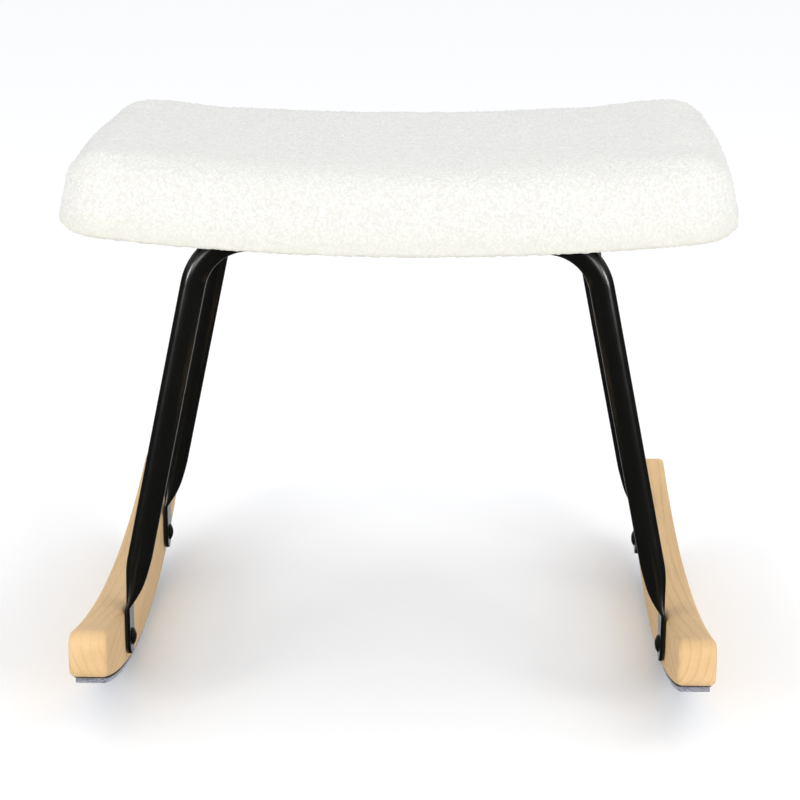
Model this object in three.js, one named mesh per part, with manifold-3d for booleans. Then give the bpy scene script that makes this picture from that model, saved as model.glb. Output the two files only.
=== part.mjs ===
// A rocking footstool: an upholstered saddle seat on two bent steel hoops, bolted to two curved
// wooden rockers with felt glides. Millimetres, +Z up, the front faces -Y, and +X is on the right
// seen from the front.
// The origin lies on the floor, under the middle of the footstool.

import Module from 'manifold-3d';
import * as THREE from 'three';
import { mergeVertices } from 'three/addons/utils/BufferGeometryUtils.js';

const wasm = await Module();
wasm.setup();

// ---- Driving dimensions ----

const GAP = 0.3; // clearance between pieces that touch

// Steel hoops: one round tube each, bent twice, with both ends pressed flat
const TUBE_DIAMETER = 20;
const TUBE_WALL = 2;
const TUBE_SIDES = 16;
const BORE_SIDES = 8;
const HOOP_Y = 130; // distance of each hoop's plane from the middle
const CROSSBAR_Z = 377.5; // height of the crossbar's centreline
const CORNER_X = 153.8; // where the crossbar's and the leg's centrelines would meet
const LEG_SPLAY = THREE.MathUtils.degToRad(11.73); // legs lean outwards by this angle
const BEND_RADIUS = 46; // of the centreline
const BEND_STEPS = 6;
const TAB_OUTER_X = 221; // outer face of the flattened end
const TAB_TOP_Z = 72;
const TAB_THICKNESS = 2 * TUBE_WALL;
const PRESS_LENGTH = 44; // the tube goes from round to flat over this height
const PRESS_POWER = 2.4; // how suddenly it goes flat at the lower end
const NECK_INSET = 1.2; // the tube meets the flattened end this far inside its outer face
const NECK_STEP = 2; // height of that step
const KNEE_HALF_SPAN = 8; // the leg turns upright over twice this height

// Rockers
const ROCKER_INNER_X = TAB_OUTER_X + GAP;
const ROCKER_WIDTH = 30;
const ROCKER_HALF_LENGTH = 245;
const ROCKER_MID_HEIGHT = 53;
const ROCKER_BOTTOM_RADIUS = 650;
const ROCKER_TOP_RADIUS = 950;
const ROCKER_NOSE_RADIUS = 13;
const ROCKER_EDGE_RADIUS = 4.5;

// Glides under the rockers
const FELT_THICKNESS = 4;
const TAPE_THICKNESS = 1;
const FELT_WIDTH = 24;
const TAPE_WIDTH = 26;
const GLIDE_HALF_ANGLE = THREE.MathUtils.degToRad(20.7);
const GLIDE_SEGMENTS = 23; // an odd number, so that one flat facet lies level on the floor

// Bolts through the flattened ends into threaded inserts in the rockers
const BOLT_Z = 41.5;
const BOLT_SHANK_DIAMETER = 8;
const BOLT_HEAD_DIAMETER = 14.6;
const BOLT_HEAD_HEIGHT = 3;
const BOLT_SOCKET_WIDTH = 5;
const BOLT_SOCKET_DEPTH = 2;
const BOLT_LENGTH = 22;
const INSERT_DIAMETER = 12;
const INSERT_LENGTH = 18;

// Seat: every layer is curved about one line parallel to Y, high above the seat
const SEAT_RIM_Z = 371; // lowest line of the padded rim, at mid-width
const SEAT_CURVE_RADIUS = 2150; // of the rim
const SEAT_THICKNESS = 64;
const SEAT_HALF_WIDTH = 270;
const SEAT_HALF_DEPTH = 175;
const SEAT_TOP_CORNER = 24;
const SEAT_BOTTOM_CORNER = 14;
const SEAT_EDGE_BEVEL = 13; // rounding of the front and back edges, below both corner radii
const FABRIC_THICKNESS = 2.5;
const BOARD_THICKNESS = 12;
const BOARD_UNDERSIDE_Z = 391;
const RECESS_HALF_WIDTH = 240; // hollow below the board, inside the padded rim
const RECESS_HALF_DEPTH = 150;
const BOARD_MARGIN = 1; // the board is this much larger than the recess
const HEM_WIDTH = 8; // fabric turned in under the board
const LINING_THICKNESS = 0.8;

// Bolts that hold the seat on the crossbars
const SEAT_BOLT_X = 60;
const SEAT_BOLT_DIAMETER = 6;
const SEAT_BOLT_HEAD_DIAMETER = 12;
const SEAT_BOLT_HEAD_HEIGHT = 2;
const SEAT_BOLT_SOCKET_WIDTH = 4;
const SEAT_BOLT_SOCKET_DEPTH = 1.5;
const TEE_NUT_FLANGE_DIAMETER = 19;
const TEE_NUT_FLANGE_THICKNESS = 1.5;
const TEE_NUT_BARREL_DIAMETER = 9;
const TEE_NUT_BARREL_LENGTH = 9;
const SADDLE_LENGTH = 26;
const SADDLE_WIDTH = 18;
const SADDLE_DROP = 3.5; // how far the saddle reaches down around the tube

const ROUND_SIDES = 16; // facets around bolts, nuts and holes
const CURVE_STEPS = 14; // facets along the seat's curve

// ---- Worked out from the dimensions above ----

const TUBE_RADIUS = TUBE_DIAMETER / 2;
const SIDE_SLOPE = Math.tan(LEG_SPLAY);
const ROCKER_BOTTOM_Z = FELT_THICKNESS + TAPE_THICKNESS;
const SEAT_CENTRE_Z = SEAT_RIM_Z + SEAT_CURVE_RADIUS;
const BOARD_OUTER_RADIUS = SEAT_CENTRE_Z - BOARD_UNDERSIDE_Z;
const SIDES = { left: -1, right: 1 };
const ENDS = { front: -1, rear: 1 };

// ---- Materials ----

function finish(color, roughness, metalness = 0) {
  return new THREE.MeshStandardMaterial({ color, roughness, metalness });
}

const COATED_STEEL = { color: '#0c0d0f', roughness: 0.32, metalness: 0.4 };
const BLACK_STEEL = { color: '#101012', roughness: 0.35, metalness: 0.6 };
const ZINC = { color: '#b9bcc0', roughness: 0.35, metalness: 0.9 };
const BEECH = { color: '#deba8a', roughness: 0.55, metalness: 0 };
const PLYWOOD = { color: '#cdb088', roughness: 0.7, metalness: 0 };
const BOUCLE = { color: '#f6f5f0', roughness: 0.95, metalness: 0 };
const FOAM = { color: '#f0e8c8', roughness: 0.95, metalness: 0 };
const LINING = { color: '#1b1b1d', roughness: 0.9, metalness: 0 };
const FELT = { color: '#b9bfc9', roughness: 0.98, metalness: 0 };
const TAPE = { color: '#17171a', roughness: 0.8, metalness: 0 };
const BLACK_PLASTIC = { color: '#1c1c1e', roughness: 0.5, metalness: 0 };

// ---- Solids: joining and cutting ----

function solidOf(geometry) {
  const plain = geometry.clone();
  plain.deleteAttribute('normal');
  plain.deleteAttribute('uv');
  const merged = mergeVertices(plain, 1e-4);
  return new wasm.Manifold(
    new wasm.Mesh({
      numProp: 3,
      vertProperties: merged.attributes.position.array,
      triVerts: new Uint32Array(merged.index.array),
    }),
  );
}

function geometryOf(solid) {
  const mesh = solid.getMesh();
  const geometry = new THREE.BufferGeometry();
  geometry.setAttribute('position', new THREE.BufferAttribute(mesh.vertProperties, 3));
  geometry.setIndex(new THREE.BufferAttribute(mesh.triVerts, 1));
  geometry.computeVertexNormals();
  return geometry;
}

function cut(geometry, ...tools) {
  const remaining = tools.reduce((solid, tool) => solid.subtract(solidOf(tool)), solidOf(geometry));
  return geometryOf(remaining);
}

function join(first, ...others) {
  const joined = others.reduce((solid, other) => solid.add(solidOf(other)), solidOf(first));
  return geometryOf(joined);
}

// ---- Outlines and plain shapes ----

function arcPoints(centreX, centreY, radius, startAngle, endAngle, segments) {
  const points = [];
  for (let i = 0; i <= segments; i += 1) {
    const angle = THREE.MathUtils.lerp(startAngle, endAngle, i / segments);
    points.push(
      new THREE.Vector2(centreX + radius * Math.cos(angle), centreY + radius * Math.sin(angle)),
    );
  }
  return points;
}

// A cylinder along Z from one height to another
function upright(diameter, fromZ, toZ, sides = ROUND_SIDES) {
  const cylinder = new THREE.CylinderGeometry(diameter / 2, diameter / 2, toZ - fromZ, sides);
  return cylinder.rotateX(Math.PI / 2).translate(0, 0, (fromZ + toZ) / 2);
}

// Extrudes an outline drawn in the XZ plane along Y, centred on Y = 0
function extrudeAlongY(outline, depth, bevel = 0) {
  const geometry = new THREE.ExtrudeGeometry(new THREE.Shape(outline), {
    depth: depth - 2 * bevel,
    bevelEnabled: bevel > 0,
    bevelThickness: bevel,
    bevelSize: bevel,
    bevelOffset: -bevel,
    bevelSegments: 3,
  });
  return geometry.translate(0, 0, bevel - depth / 2).rotateX(Math.PI / 2);
}

// Extrudes an outline drawn in the YZ plane along X, centred on X = 0
function extrudeAlongX(outline, width, bevel = 0) {
  const geometry = new THREE.ExtrudeGeometry(new THREE.Shape(outline), {
    depth: width - 2 * bevel,
    bevelEnabled: bevel > 0,
    bevelThickness: bevel,
    bevelSize: bevel,
    bevelOffset: -bevel,
    bevelSegments: 2,
  });
  const turn = new THREE.Matrix4().makeBasis(
    new THREE.Vector3(0, 1, 0),
    new THREE.Vector3(0, 0, 1),
    new THREE.Vector3(1, 0, 0),
  );
  return geometry.translate(0, 0, bevel - width / 2).applyMatrix4(turn);
}

// ---- Hoops ----

// The leg's outer side follows the splay, then turns upright beside the rocker
const OUTER_LINE_X = CORNER_X + TUBE_RADIUS / Math.cos(LEG_SPLAY);
const KNEE_Z = CROSSBAR_Z - (TAB_OUTER_X - OUTER_LINE_X) / SIDE_SLOPE;

function legSlope(z) {
  const share = (z - KNEE_Z + KNEE_HALF_SPAN) / (2 * KNEE_HALF_SPAN);
  return SIDE_SLOPE * THREE.MathUtils.clamp(share, 0, 1);
}

function legOuterX(z) {
  if (z >= KNEE_Z + KNEE_HALF_SPAN) {
    return OUTER_LINE_X + SIDE_SLOPE * (CROSSBAR_Z - z);
  }
  const above = Math.max(z - KNEE_Z + KNEE_HALF_SPAN, 0);
  return TAB_OUTER_X - (SIDE_SLOPE * above ** 2) / (4 * KNEE_HALF_SPAN);
}

// A pressed tube keeps its circumference, so it grows wider as it grows thinner
function pressedWidth(thickness) {
  return (Math.PI / 2) * TUBE_DIAMETER - (Math.PI / 2 - 1) * thickness;
}

// One section of a leg, whose outer side stands inside the leg's outer line by the inset
function legRing(z, thickness, width, inset = 0) {
  const tilt = Math.atan(legSlope(z));
  return {
    x: legOuterX(z) - inset - thickness / 2 / Math.cos(tilt),
    z,
    alongX: Math.sin(tilt),
    alongZ: -Math.cos(tilt),
    thickness,
    width,
  };
}

// The right half of a hoop, from the crossbar to the tip of the flattened end
function halfHoopRings() {
  const rings = [];
  const bendAngle = Math.PI / 2 - LEG_SPLAY;
  const bendX = CORNER_X - BEND_RADIUS * Math.tan(bendAngle / 2);
  for (let i = 0; i <= BEND_STEPS; i += 1) {
    const turned = (bendAngle * i) / BEND_STEPS;
    rings.push({
      x: bendX + BEND_RADIUS * Math.sin(turned),
      z: CROSSBAR_Z - BEND_RADIUS * (1 - Math.cos(turned)),
      alongX: Math.cos(turned),
      alongZ: -Math.sin(turned),
      thickness: TUBE_DIAMETER,
      width: TUBE_DIAMETER,
    });
  }
  for (const share of [1, 0.8, 0.6, 0.42, 0.28, 0.16, 0.07, 0]) {
    const squeezed = (TUBE_DIAMETER - TAB_THICKNESS) * (1 - share) ** PRESS_POWER;
    const thickness = TUBE_DIAMETER - squeezed;
    const z = TAB_TOP_Z + PRESS_LENGTH * share;
    rings.push(legRing(z, thickness, pressedWidth(thickness), NECK_INSET * (1 - share) ** 2));
  }
  const tabWidth = pressedWidth(TAB_THICKNESS);
  rings.push(legRing(TAB_TOP_Z - NECK_STEP, TAB_THICKNESS, tabWidth));
  for (const degrees of [0, 30, 55, 72, 81]) {
    const angle = THREE.MathUtils.degToRad(degrees);
    const z = BOLT_Z - (tabWidth / 2) * Math.sin(angle);
    rings.push(legRing(z, TAB_THICKNESS, tabWidth * Math.cos(angle)));
  }
  return rings;
}

function wholeHoopRings(halfRings) {
  const mirrored = halfRings.map((ring) => ({ ...ring, x: -ring.x, alongZ: -ring.alongZ }));
  return [...mirrored.reverse(), ...halfRings];
}

// The point of a section at an angle round the tube: across is in the hoop's plane, deep is along Y.
// The section is a slot shape, and its points keep their distance along its edge as it is pressed.
function sectionPoint(angle, thickness, width) {
  const endRadius = thickness / 2;
  const flatHalf = (width - thickness) / 2;
  const quarter = flatHalf + (Math.PI / 2) * endRadius;
  const fold = Math.acos(Math.abs(Math.cos(angle)));
  const walked = (fold / (Math.PI / 2)) * quarter;
  const onEnd = walked < (Math.PI / 2) * endRadius;
  const turned = onEnd ? walked / endRadius : Math.PI / 2;
  const across = endRadius * Math.sin(turned);
  const deep = onEnd ? flatHalf + endRadius * Math.cos(turned) : quarter - walked;
  return { across: Math.sign(Math.sin(angle)) * across, deep: Math.sign(Math.cos(angle)) * deep };
}

// Turns a straight cylinder into a tube through the rings
function tubeThrough(rings, sides, wallInset) {
  const last = rings.length - 1;
  const tube = new THREE.CylinderGeometry(1, 1, 1, sides, last);
  const position = tube.attributes.position;
  for (let i = 0; i < position.count; i += 1) {
    const ring = rings[Math.round((0.5 - position.getY(i)) * last)];
    const radius = Math.hypot(position.getX(i), position.getZ(i));
    const angle = Math.atan2(position.getX(i), position.getZ(i));
    const point = sectionPoint(angle, ring.thickness - 2 * wallInset, ring.width - 2 * wallInset);
    const across = radius > 0.5 ? point.across : 0;
    const deep = radius > 0.5 ? point.deep : 0;
    position.setXYZ(i, ring.x + ring.alongZ * across, deep, ring.z - ring.alongX * across);
  }
  return tube;
}

function hoopGeometry() {
  const outerRings = halfHoopRings();
  const boreRings = outerRings.filter((ring) => ring.thickness > 2 * TAB_THICKNESS);
  const holes = [];
  for (const side of Object.values(SIDES)) {
    const seatHole = upright(SEAT_BOLT_DIAMETER + 2 * GAP, CROSSBAR_Z - 20, CROSSBAR_Z + 20);
    holes.push(seatHole.translate(side * SEAT_BOLT_X, 0, 0));
    const tabHole = upright(BOLT_SHANK_DIAMETER + 2 * GAP, -10, 10).rotateY(Math.PI / 2);
    holes.push(tabHole.translate(side * TAB_OUTER_X, 0, BOLT_Z));
  }
  return cut(
    tubeThrough(wholeHoopRings(outerRings), TUBE_SIDES, 0),
    tubeThrough(wholeHoopRings(boreRings), BORE_SIDES, TUBE_WALL),
    ...holes,
  );
}

// ---- Rockers and glides ----

// The rocker's side view: two arcs, joined by blunt rounded noses
function rockerOutline() {
  const bottomZ = ROCKER_BOTTOM_Z + ROCKER_BOTTOM_RADIUS;
  const topZ = ROCKER_BOTTOM_Z + ROCKER_MID_HEIGHT + ROCKER_TOP_RADIUS;
  const noseY = ROCKER_HALF_LENGTH - ROCKER_NOSE_RADIUS;
  const bottomTurn = Math.asin(noseY / (ROCKER_BOTTOM_RADIUS - ROCKER_NOSE_RADIUS));
  const topTurn = Math.asin(noseY / (ROCKER_TOP_RADIUS + ROCKER_NOSE_RADIUS));
  const lowNoseZ = bottomZ - (ROCKER_BOTTOM_RADIUS - ROCKER_NOSE_RADIUS) * Math.cos(bottomTurn);
  const highNoseZ = topZ - (ROCKER_TOP_RADIUS + ROCKER_NOSE_RADIUS) * Math.cos(topTurn);
  const down = -Math.PI / 2;
  const nose = ROCKER_NOSE_RADIUS;
  return [
    ...arcPoints(0, bottomZ, ROCKER_BOTTOM_RADIUS, down - bottomTurn, down + bottomTurn, 16),
    ...arcPoints(noseY, lowNoseZ, nose, down + bottomTurn, 0, 4).slice(1),
    ...arcPoints(noseY, highNoseZ, nose, 0, Math.PI / 2 + topTurn, 4),
    ...arcPoints(0, topZ, ROCKER_TOP_RADIUS, down + topTurn, down - topTurn, 12).slice(1, -1),
    ...arcPoints(-noseY, highNoseZ, nose, Math.PI / 2 - topTurn, Math.PI, 4),
    ...arcPoints(-noseY, lowNoseZ, nose, Math.PI, down + 2 * Math.PI - bottomTurn, 4).slice(0, -1),
  ];
}

function rockerGeometry(side) {
  const insertHoles = Object.values(ENDS).map((end) =>
    upright(INSERT_DIAMETER + 2 * GAP, 0, INSERT_LENGTH + 4)
      .rotateY(Math.PI / 2)
      .translate(ROCKER_INNER_X - 2, end * HOOP_Y, BOLT_Z),
  );
  const blank = extrudeAlongX(rockerOutline(), ROCKER_WIDTH, ROCKER_EDGE_RADIUS);
  const rocker = cut(blank.translate(ROCKER_INNER_X + ROCKER_WIDTH / 2, 0, 0), ...insertHoles);
  return side < 0 ? rocker.rotateZ(Math.PI) : rocker;
}

// A strip that follows the rocker's underside
function glideStrip(innerRadius, outerRadius, width) {
  const centreZ = ROCKER_BOTTOM_Z + ROCKER_BOTTOM_RADIUS;
  const from = -Math.PI / 2 - GLIDE_HALF_ANGLE;
  const to = -Math.PI / 2 + GLIDE_HALF_ANGLE;
  const outline = [
    ...arcPoints(0, centreZ, outerRadius, from, to, GLIDE_SEGMENTS),
    ...arcPoints(0, centreZ, innerRadius, to, from, GLIDE_SEGMENTS),
  ];
  return extrudeAlongX(outline, width).translate(ROCKER_INNER_X + ROCKER_WIDTH / 2, 0, 0);
}

function tapeGeometry() {
  const outer = ROCKER_BOTTOM_RADIUS + TAPE_THICKNESS;
  return glideStrip(ROCKER_BOTTOM_RADIUS + GAP, outer, TAPE_WIDTH);
}

// The level facet's middle lies on the floor, so the strip's arc is a little larger than its facets
function feltGeometry() {
  const facetHalfAngle = GLIDE_HALF_ANGLE / GLIDE_SEGMENTS;
  const outer = (ROCKER_BOTTOM_RADIUS + ROCKER_BOTTOM_Z) / Math.cos(facetHalfAngle);
  return glideStrip(ROCKER_BOTTOM_RADIUS + TAPE_THICKNESS + GAP, outer, FELT_WIDTH);
}

// ---- Fasteners ----

// A domed head with its flat underside at Z = 0 and the shank pointing down
function domedBolt(headDiameter, headHeight, shankDiameter, length) {
  const headRadius = headDiameter / 2;
  const rimHeight = headHeight * 0.2;
  const rise = headHeight - rimHeight;
  const domeRadius = (headRadius ** 2 + rise ** 2) / (2 * rise);
  const spread = Math.asin(headRadius / domeRadius);
  const profile = [
    new THREE.Vector2(0, -length),
    new THREE.Vector2(shankDiameter / 2 - 0.8, -length),
    new THREE.Vector2(shankDiameter / 2, 0.8 - length),
    new THREE.Vector2(shankDiameter / 2, 0),
    new THREE.Vector2(headRadius, 0),
    ...arcPoints(0, headHeight - domeRadius, domeRadius, Math.PI / 2 - spread, Math.PI / 2, 3),
  ];
  profile[profile.length - 1].x = 0;
  return new THREE.LatheGeometry(profile, ROUND_SIDES).rotateX(Math.PI / 2);
}

function hexSocket(width, depth, headHeight) {
  return upright(width / Math.cos(Math.PI / 6), headHeight - depth, headHeight + 1, 6);
}

function rockerBoltGeometry(side) {
  const bolt = cut(
    domedBolt(BOLT_HEAD_DIAMETER, BOLT_HEAD_HEIGHT, BOLT_SHANK_DIAMETER, BOLT_LENGTH),
    hexSocket(BOLT_SOCKET_WIDTH, BOLT_SOCKET_DEPTH, BOLT_HEAD_HEIGHT),
  );
  return bolt.rotateY((-side * Math.PI) / 2);
}

function ringGeometry(outerDiameter, innerDiameter, length) {
  return cut(upright(outerDiameter, 0, length), upright(innerDiameter, -1, length + 1));
}

function insertGeometry(side) {
  const bore = BOLT_SHANK_DIAMETER + 2 * GAP;
  return ringGeometry(INSERT_DIAMETER, bore, INSERT_LENGTH).rotateY((side * Math.PI) / 2);
}

function seatBoltLength() {
  const boardTop = boardTopAt(SEAT_BOLT_X);
  return boardTop - 1 - (CROSSBAR_Z - TUBE_RADIUS - GAP);
}

function seatBoltGeometry() {
  const length = seatBoltLength();
  const bolt = domedBolt(SEAT_BOLT_HEAD_DIAMETER, SEAT_BOLT_HEAD_HEIGHT, SEAT_BOLT_DIAMETER, length);
  const socket = hexSocket(SEAT_BOLT_SOCKET_WIDTH, SEAT_BOLT_SOCKET_DEPTH, SEAT_BOLT_HEAD_HEIGHT);
  return cut(bolt, socket).rotateX(Math.PI);
}

// The flange lies on top of the board, and the barrel reaches down into it
function teeNutGeometry() {
  const nut = join(
    upright(TEE_NUT_FLANGE_DIAMETER, 0, TEE_NUT_FLANGE_THICKNESS),
    upright(TEE_NUT_BARREL_DIAMETER, -TEE_NUT_BARREL_LENGTH, TEE_NUT_FLANGE_THICKNESS / 2),
  );
  return cut(nut, upright(SEAT_BOLT_DIAMETER + 2 * GAP, -TEE_NUT_BARREL_LENGTH - 1, 5));
}

// ---- Seat ----

function layerZ(radius, x) {
  return SEAT_CENTRE_Z - Math.sqrt(radius ** 2 - x ** 2);
}

function boardTopAt(x) {
  return layerZ(BOARD_OUTER_RADIUS - BOARD_THICKNESS, x);
}

// The board rises under the nut's level flange, which rests on its higher side
function nutSeatZ() {
  return boardTopAt(SEAT_BOLT_X + TEE_NUT_FLANGE_DIAMETER / 2) + GAP;
}

// A slab curved about the seat's centre line, between two radii, with rounded corners at its ends.
// Its ends point at the centre line, and its half-width is measured at the rim's radius.
function curvedSlab({ innerRadius, outerRadius, halfWidth, halfDepth, ...edges }) {
  const halfAngle = Math.asin(halfWidth / SEAT_CURVE_RADIUS);
  const top = edges.topCorner ?? 0;
  const bottom = edges.bottomCorner ?? 0;
  const bottomTurn = halfAngle - Math.asin(bottom / (outerRadius - bottom));
  const topTurn = halfAngle - Math.asin(top / (innerRadius + top));
  const down = -Math.PI / 2;
  const centre = SEAT_CENTRE_Z;
  const outline = arcPoints(0, centre, outerRadius, down - bottomTurn, down + bottomTurn, CURVE_STEPS);
  if (bottom > 0) {
    const reach = outerRadius - bottom;
    const x = reach * Math.sin(bottomTurn);
    const z = centre - reach * Math.cos(bottomTurn);
    outline.push(...arcPoints(x, z, bottom, down + bottomTurn, halfAngle, 3).slice(1));
  }
  if (top > 0) {
    const reach = innerRadius + top;
    const x = reach * Math.sin(topTurn);
    const z = centre - reach * Math.cos(topTurn);
    outline.push(...arcPoints(x, z, top, halfAngle, Math.PI / 2 + topTurn, 5).slice(0, -1));
  }
  outline.push(...arcPoints(0, centre, innerRadius, down + topTurn, down, CURVE_STEPS / 2));
  const rightHalf = outline.filter((point) => point.x > 1e-6);
  const leftHalf = rightHalf.map((point) => new THREE.Vector2(-point.x, point.y)).reverse();
  const middleBottom = new THREE.Vector2(0, centre - outerRadius);
  const middleTop = new THREE.Vector2(0, centre - innerRadius);
  const wholeOutline = [middleBottom, ...rightHalf, middleTop, ...leftHalf];
  return extrudeAlongY(wholeOutline, 2 * halfDepth, edges.bevel);
}

// The seat's outer form, made smaller all round by an inset
function seatEnvelope(inset) {
  return curvedSlab({
    innerRadius: SEAT_CURVE_RADIUS - SEAT_THICKNESS + inset,
    outerRadius: SEAT_CURVE_RADIUS - inset,
    halfWidth: SEAT_HALF_WIDTH - inset,
    halfDepth: SEAT_HALF_DEPTH - inset,
    topCorner: SEAT_TOP_CORNER,
    bottomCorner: SEAT_BOTTOM_CORNER,
    bevel: SEAT_EDGE_BEVEL,
  });
}

// The hollow below the board, made larger all round by a margin
function recess(margin, ceilingRadius) {
  return curvedSlab({
    innerRadius: ceilingRadius,
    outerRadius: SEAT_CURVE_RADIUS + 20,
    halfWidth: RECESS_HALF_WIDTH + margin,
    halfDepth: RECESS_HALF_DEPTH + margin,
  });
}

function boardSlab(margin) {
  return curvedSlab({
    innerRadius: BOARD_OUTER_RADIUS - BOARD_THICKNESS - margin,
    outerRadius: BOARD_OUTER_RADIUS + margin,
    halfWidth: RECESS_HALF_WIDTH + BOARD_MARGIN + margin,
    halfDepth: RECESS_HALF_DEPTH + BOARD_MARGIN + margin,
  });
}

function coverGeometry() {
  const hemTop = BOARD_OUTER_RADIUS + GAP;
  const outside = cut(seatEnvelope(0), recess(0, hemTop + FABRIC_THICKNESS));
  const inside = cut(seatEnvelope(FABRIC_THICKNESS), recess(FABRIC_THICKNESS, hemTop));
  const hemOpening = recess(-HEM_WIDTH, BOARD_OUTER_RADIUS - 5);
  return cut(outside, inside, hemOpening);
}

function foamGeometry() {
  const inset = FABRIC_THICKNESS + GAP;
  const nutSpace = upright(TEE_NUT_FLANGE_DIAMETER + 1, -1, TEE_NUT_FLANGE_THICKNESS + GAP);
  const nutSpaces = seatBoltPlaces().map(({ x, y }) => nutSpace.clone().translate(x, y, nutSeatZ()));
  const hollow = recess(inset, BOARD_OUTER_RADIUS);
  return cut(seatEnvelope(inset), hollow, boardSlab(GAP), ...nutSpaces);
}

function boardGeometry() {
  const holes = seatBoltPlaces().map(({ x, y }) =>
    upright(TEE_NUT_BARREL_DIAMETER + 2 * GAP, -30, 30).translate(x, y, boardTopAt(x)),
  );
  return cut(boardSlab(0), ...holes);
}

function liningGeometry() {
  const holes = seatBoltPlaces().map(({ x, y }) =>
    new THREE.BoxGeometry(SADDLE_LENGTH + 1, SADDLE_WIDTH + 1, 30).translate(x, y, boardTopAt(x)),
  );
  const sheet = curvedSlab({
    innerRadius: BOARD_OUTER_RADIUS + GAP,
    outerRadius: BOARD_OUTER_RADIUS + GAP + LINING_THICKNESS,
    halfWidth: RECESS_HALF_WIDTH - HEM_WIDTH - GAP,
    halfDepth: RECESS_HALF_DEPTH - HEM_WIDTH - GAP,
  });
  return cut(sheet, ...holes);
}

// A block that sits astride the crossbar and carries the curved board
function saddleGeometry(side) {
  const bottom = CROSSBAR_Z + TUBE_RADIUS - SADDLE_DROP;
  const height = BOARD_UNDERSIDE_Z + 10 - bottom;
  const x = side * SEAT_BOLT_X;
  const block = new THREE.BoxGeometry(SADDLE_LENGTH, SADDLE_WIDTH, height);
  const tube = upright(TUBE_DIAMETER + 2 * GAP, -200, 200, 32).rotateY(Math.PI / 2);
  const boardSide = curvedSlab({
    innerRadius: BOARD_OUTER_RADIUS - 40,
    outerRadius: BOARD_OUTER_RADIUS + GAP,
    halfWidth: RECESS_HALF_WIDTH,
    halfDepth: RECESS_HALF_DEPTH,
  });
  return cut(
    block.translate(x, 0, bottom + height / 2),
    tube.translate(0, 0, CROSSBAR_Z),
    boardSide,
    upright(SEAT_BOLT_DIAMETER + 2 * GAP, 0, 2 * CROSSBAR_Z).translate(x, 0, 0),
  );
}

// ---- Assembly ----

function seatBoltPlaces() {
  const places = [];
  for (const [endName, end] of Object.entries(ENDS)) {
    for (const [sideName, side] of Object.entries(SIDES)) {
      places.push({ name: `${endName}_${sideName}`, side, x: side * SEAT_BOLT_X, y: end * HOOP_Y });
    }
  }
  return places;
}

const footstool = new THREE.Group();

function place(name, geometry, look, x = 0, y = 0, z = 0) {
  const mesh = new THREE.Mesh(geometry, finish(look.color, look.roughness, look.metalness));
  mesh.name = name;
  mesh.position.set(x, y, z);
  footstool.add(mesh);
}

function addSeat() {
  place('seat_cover', coverGeometry(), BOUCLE);
  place('seat_foam', foamGeometry(), FOAM);
  place('seat_board', boardGeometry(), PLYWOOD);
  place('seat_lining', liningGeometry(), LINING);
}

function addHoops() {
  for (const [endName, end] of Object.entries(ENDS)) {
    place(`${endName}_leg_hoop`, hoopGeometry(), COATED_STEEL, 0, end * HOOP_Y, 0);
  }
}

function addSeatFixings() {
  const headZ = CROSSBAR_Z - TUBE_RADIUS - GAP;
  for (const { name, side, x, y } of seatBoltPlaces()) {
    place(`${name}_seat_bolt`, seatBoltGeometry(), BLACK_STEEL, x, y, headZ);
    place(`${name}_saddle`, saddleGeometry(side), BLACK_PLASTIC, 0, y, 0);
    place(`${name}_tee_nut`, teeNutGeometry(), ZINC, x, y, nutSeatZ());
  }
}

function addRockers() {
  const boltX = TAB_OUTER_X - TAB_THICKNESS - GAP;
  const nutX = ROCKER_INNER_X + GAP;
  for (const [sideName, side] of Object.entries(SIDES)) {
    const mirror = side < 0 ? Math.PI : 0;
    place(`${sideName}_rocker`, rockerGeometry(side), BEECH);
    place(`${sideName}_glide_tape`, tapeGeometry().rotateZ(mirror), TAPE);
    place(`${sideName}_glide_felt`, feltGeometry().rotateZ(mirror), FELT);
    for (const [endName, end] of Object.entries(ENDS)) {
      const corner = `${endName}_${sideName}`;
      const y = end * HOOP_Y;
      place(`${corner}_rocker_bolt`, rockerBoltGeometry(side), BLACK_STEEL, side * boltX, y, BOLT_Z);
      place(`${corner}_insert_nut`, insertGeometry(side), ZINC, side * nutX, y, BOLT_Z);
    }
  }
}

addSeat();
addHoops();
addSeatFixings();
addRockers();

export default footstool;
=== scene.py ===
"""Looks of the rocking footstool: a boucle saddle seat on two black tube hoops and wooden rockers.

Metres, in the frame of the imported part: +Z up, +X to the right seen from the front, the front faces -Y.
"""

import math

import bpy
import numpy as np
from mathutils import Matrix, Vector, kdtree


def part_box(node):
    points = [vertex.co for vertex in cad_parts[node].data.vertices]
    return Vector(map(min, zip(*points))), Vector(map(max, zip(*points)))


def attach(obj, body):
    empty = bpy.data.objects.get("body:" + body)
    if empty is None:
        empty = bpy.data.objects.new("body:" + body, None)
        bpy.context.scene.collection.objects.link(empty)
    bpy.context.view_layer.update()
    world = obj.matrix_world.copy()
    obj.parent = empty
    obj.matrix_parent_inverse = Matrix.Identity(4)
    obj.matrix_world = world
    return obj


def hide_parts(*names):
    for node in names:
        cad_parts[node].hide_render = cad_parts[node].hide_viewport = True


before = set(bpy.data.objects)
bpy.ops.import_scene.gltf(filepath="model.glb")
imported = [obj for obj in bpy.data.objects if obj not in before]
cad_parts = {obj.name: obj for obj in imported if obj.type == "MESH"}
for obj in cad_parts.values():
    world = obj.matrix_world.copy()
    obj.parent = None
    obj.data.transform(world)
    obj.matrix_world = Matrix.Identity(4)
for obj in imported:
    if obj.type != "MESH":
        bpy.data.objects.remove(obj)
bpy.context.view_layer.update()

ROOT = "root"
MM = 0.001
RNG = np.random.default_rng(7)

# ---- Places read from the frame ----

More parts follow.
